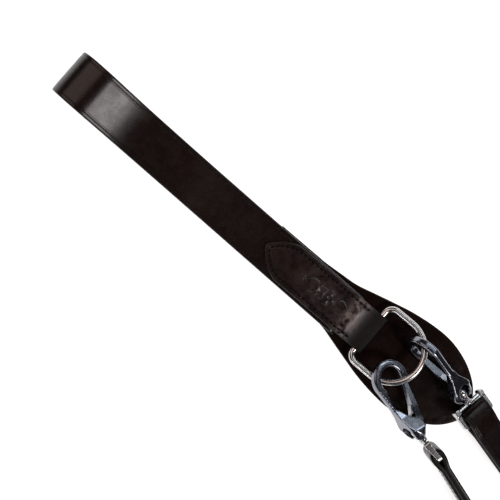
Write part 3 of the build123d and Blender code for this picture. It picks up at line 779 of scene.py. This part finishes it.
def dee_ring(material):
    tilt = math.radians(DEE_TILT)
    x_dir, y_dir = Vector((math.cos(tilt), 0, math.sin(tilt))), Vector((0, 1, 0))
    straight = DEE_HALF - DEE_CORNER
    flat = [Vector(p) for p in ((0, y) for y in np.linspace(-straight, straight, 12, endpoint=False))]
    flat += arc_points((DEE_CORNER, straight), DEE_CORNER, 180, -90, 0.6)
    flat += run_points(Vector((DEE_CORNER, DEE_HALF)), Vector((DEE_LEG, DEE_HALF)), 3.0)
    flat += arc_points((DEE_LEG, 0), DEE_HALF, 90, -180, 0.8)
    flat += run_points(Vector((DEE_LEG, -DEE_HALF)), Vector((DEE_CORNER, -DEE_HALF)), 3.0)
    flat += arc_points((DEE_CORNER, -straight), DEE_CORNER, 270, -90, 0.6)
    path = [Vector((0, 0, BAR_Z)) + x_dir * p.x + y_dir * p.y for p in flat]
    return tube("dee_ring", path, DEE_WIRE, material, "dee_ring")


def rein_ring(side, material):
    origin, along, across = coil_origin(side)
    sag = RING_RADIUS - math.sqrt(RING_RADIUS ** 2 - (RING_END_WIDTH / 2) ** 2)
    centre = origin + along * (RING_END + RING_RADIUS - sag / 2) + across * RING_LINE
    centre.z = RING_HEIGHT
    steps = 96
    path = []
    for k in range(steps):
        a = 2 * math.pi * k / steps
        path.append(centre + along * (RING_RADIUS * math.cos(a)) + UP * (RING_RADIUS * math.sin(a)))
    return tube(f"{side}_rein_ring", path, RING_WIRE, material, f"{side}_rein_ring")


def cast_piece(node, body, material, voxel, passes):
    """A casting: the CAD node's shape with its edges run together and rounded."""
    mesh = bmesh.new()
    mesh.from_mesh(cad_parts[node].data)
    bmesh.ops.remove_doubles(mesh, verts=mesh.verts, dist=1e-6)
    data = bpy.data.meshes.new(node)
    mesh.to_mesh(data)
    mesh.free()
    piece = bpy.data.objects.new(f"{node}_cast", data)
    bpy.context.scene.collection.objects.link(piece)
    remesh = piece.modifiers.new("remesh", "REMESH")
    remesh.mode = "VOXEL"
    remesh.voxel_size = voxel * MM
    smooth = piece.modifiers.new("smooth", "SMOOTH")
    smooth.factor = 0.5
    smooth.iterations = passes
    made = bpy.data.meshes.new_from_object(piece.evaluated_get(bpy.context.evaluated_depsgraph_get()))
    piece.modifiers.clear()
    piece.data = made
    made.materials.clear()
    made.materials.append(material)
    made.polygons.foreach_set("use_smooth", [True] * len(made.polygons))
    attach(piece, body)
    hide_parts(node)
    return piece


def gate_spring(side, material):
    """Leaf spring: a copy of the CAD node's shape with its own finish, left where it lies."""
    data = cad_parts[f"{side}_gate_spring"].data.copy()
    data.materials.clear()
    data.materials.append(material)
    piece = bpy.data.objects.new(f"{side}_leaf_spring", data)
    bpy.context.scene.collection.objects.link(piece)
    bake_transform(piece)
    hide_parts(f"{side}_gate_spring")


def metal_pieces(polished, worn, spring):
    dee_ring(polished)
    for side in ("left", "right"):
        rein_ring(side, polished)
        cast_piece(f"{side}_snap_body", f"{side}_snap", worn, 0.3, 22)
        cast_piece(f"{side}_swivel_eye", f"{side}_swivel", polished, 0.25, 14)
        gate_spring(side, spring)
        for part, finish in (("gate", worn), ("gate_pin", polished)):
            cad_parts[f"{side}_{part}"].material_slots[0].material = finish


# ---------------------------------------------------------------- floor, light and camera
def floor():
    data = bpy.data.meshes.new("floor")
    size = 4.0
    corners = [(-size, -size, 0), (size, -size, 0), (size, size, 0), (-size, size, 0)]
    data.from_pydata(corners, [], [(0, 1, 2, 3)])
    plane = bpy.data.objects.new("floor", data)
    bpy.context.scene.collection.objects.link(plane)
    s = Shader("floor")
    s.main.inputs["Base Color"].default_value = (0.85, 0.85, 0.85, 1)
    s.main.inputs["Roughness"].default_value = 0.9
    s.main.inputs["Emission Color"].default_value = (1, 1, 1, 1)
    s.main.inputs["Emission Strength"].default_value = 0.80
    data.materials.append(s.material)
    plane.location.z = -0.0003


def softbox(name, place, aim, size, power, colour=(1, 1, 1)):
    data = bpy.data.lights.new(name, "AREA")
    data.shape = "RECTANGLE"
    data.size, data.size_y = size
    data.energy = power
    data.color = colour
    lamp = bpy.data.objects.new(name, data)
    bpy.context.scene.collection.objects.link(lamp)
    lamp.location = place
    lamp.rotation_euler = (Vector(aim) - Vector(place)).to_track_quat("-Z", "Y").to_euler()


def studio():
    # the key is mirrored by the loop's slope, but not by flat leather
    softbox("key", (3.98, 0.03, 4.28), (-0.2, 0, 0), (1.9, 1.9), 138, (1.0, 0.92, 0.93))
    # dim panels all round, outside the directions that flat leather mirrors,
    # and two narrow bright strips for the metal's highlights
    softbox("front", (0.1, -1.25, 0.95), (0, 0, 0), (1.8, 0.75), 1.5, (0.97, 0.98, 1.0))
    softbox("front_strip", (0.1, -1.5, 0.55), (0, 0, 0), (1.5, 0.16), 6.0, (0.88, 0.94, 1.0))
    softbox("back", (0.1, 1.25, 0.95), (0, 0, 0), (1.8, 0.75), 2.2, (0.90, 0.95, 1.0))
    softbox("back_strip", (0.1, 1.2, 1.0), (0, 0, 0), (1.5, 0.13), 3.6, (0.82, 0.91, 1.0))
    softbox("far", (1.45, 0.0, 0.95), (0, 0, 0), (0.7, 1.6), 2.2)
    softbox("near", (-0.95, 0.05, 1.25), (-0.1, 0, 0), (1.0, 1.4), 5.5, (1.0, 0.78, 0.70))
    world = bpy.data.worlds.new("studio")
    bpy.context.scene.world = world
    world.use_nodes = True
    world.node_tree.nodes["Background"].inputs["Color"].default_value = (0.95, 0.92, 1.0, 1)
    world.node_tree.nodes["Background"].inputs["Strength"].default_value = 0.038


def camera():
    data = bpy.data.cameras.new("camera")
    data.lens = 50.4
    data.sensor_width = 36.0
    eye = bpy.data.objects.new("camera", data)
    bpy.context.scene.collection.objects.link(eye)
    eye.location = (-0.113, -0.0126, 0.560)
    eye.rotation_euler = (0, 0, math.radians(40.5))
    bpy.context.scene.camera = eye


# ---------------------------------------------------------------- assemble
bpy.context.scene.view_settings.view_transform = "Standard"
camera()
floor()
studio()
strap_leather = leather("strap_leather", (0.0050, 0.0015, 0.0006, 1), (0.0078, 0.0025, 0.0010, 1),
                        0.265, 0.36)
chape_leather = leather("chape_leather", (0.0070, 0.0027, 0.0017, 1), (0.0120, 0.0043, 0.0028, 1),
                        0.28, 0.38, WORN_AT)
pad_leather = leather("pad_leather", (0.0055, 0.0018, 0.0008, 1), (0.0085, 0.0030, 0.0014, 1), 0.25, 0.16)
arm_leather = leather("arm_leather", (0.0055, 0.0021, 0.0012, 1), (0.0095, 0.0036, 0.0018, 1), 0.26, 0.2)
linen = thread("waxed_thread", (0.0060, 0.0010, 0.0009, 1), (0.0015, 0.0004, 0.0003, 1))
polished = nickel("polished_nickel", (0.58, 0.57, 0.56, 1), 0.16, 0.26)
worn = nickel("worn_nickel", (0.215, 0.225, 0.255, 1), 0.14, 0.24)
spring = nickel("spring_steel", (0.40, 0.41, 0.43, 1), 0.25, 0.4)
girth_loop(strap_leather)
chest_pad(pad_leather)
ring_chape(chape_leather)
chape_stitching(linen)
arm("left_arm_strap", left_arm_stations(), arm_leather)
arm("right_arm_strap", right_arm_stations(), arm_leather)
arm_stitching(linen)
metal_pieces(polished, worn, spring)
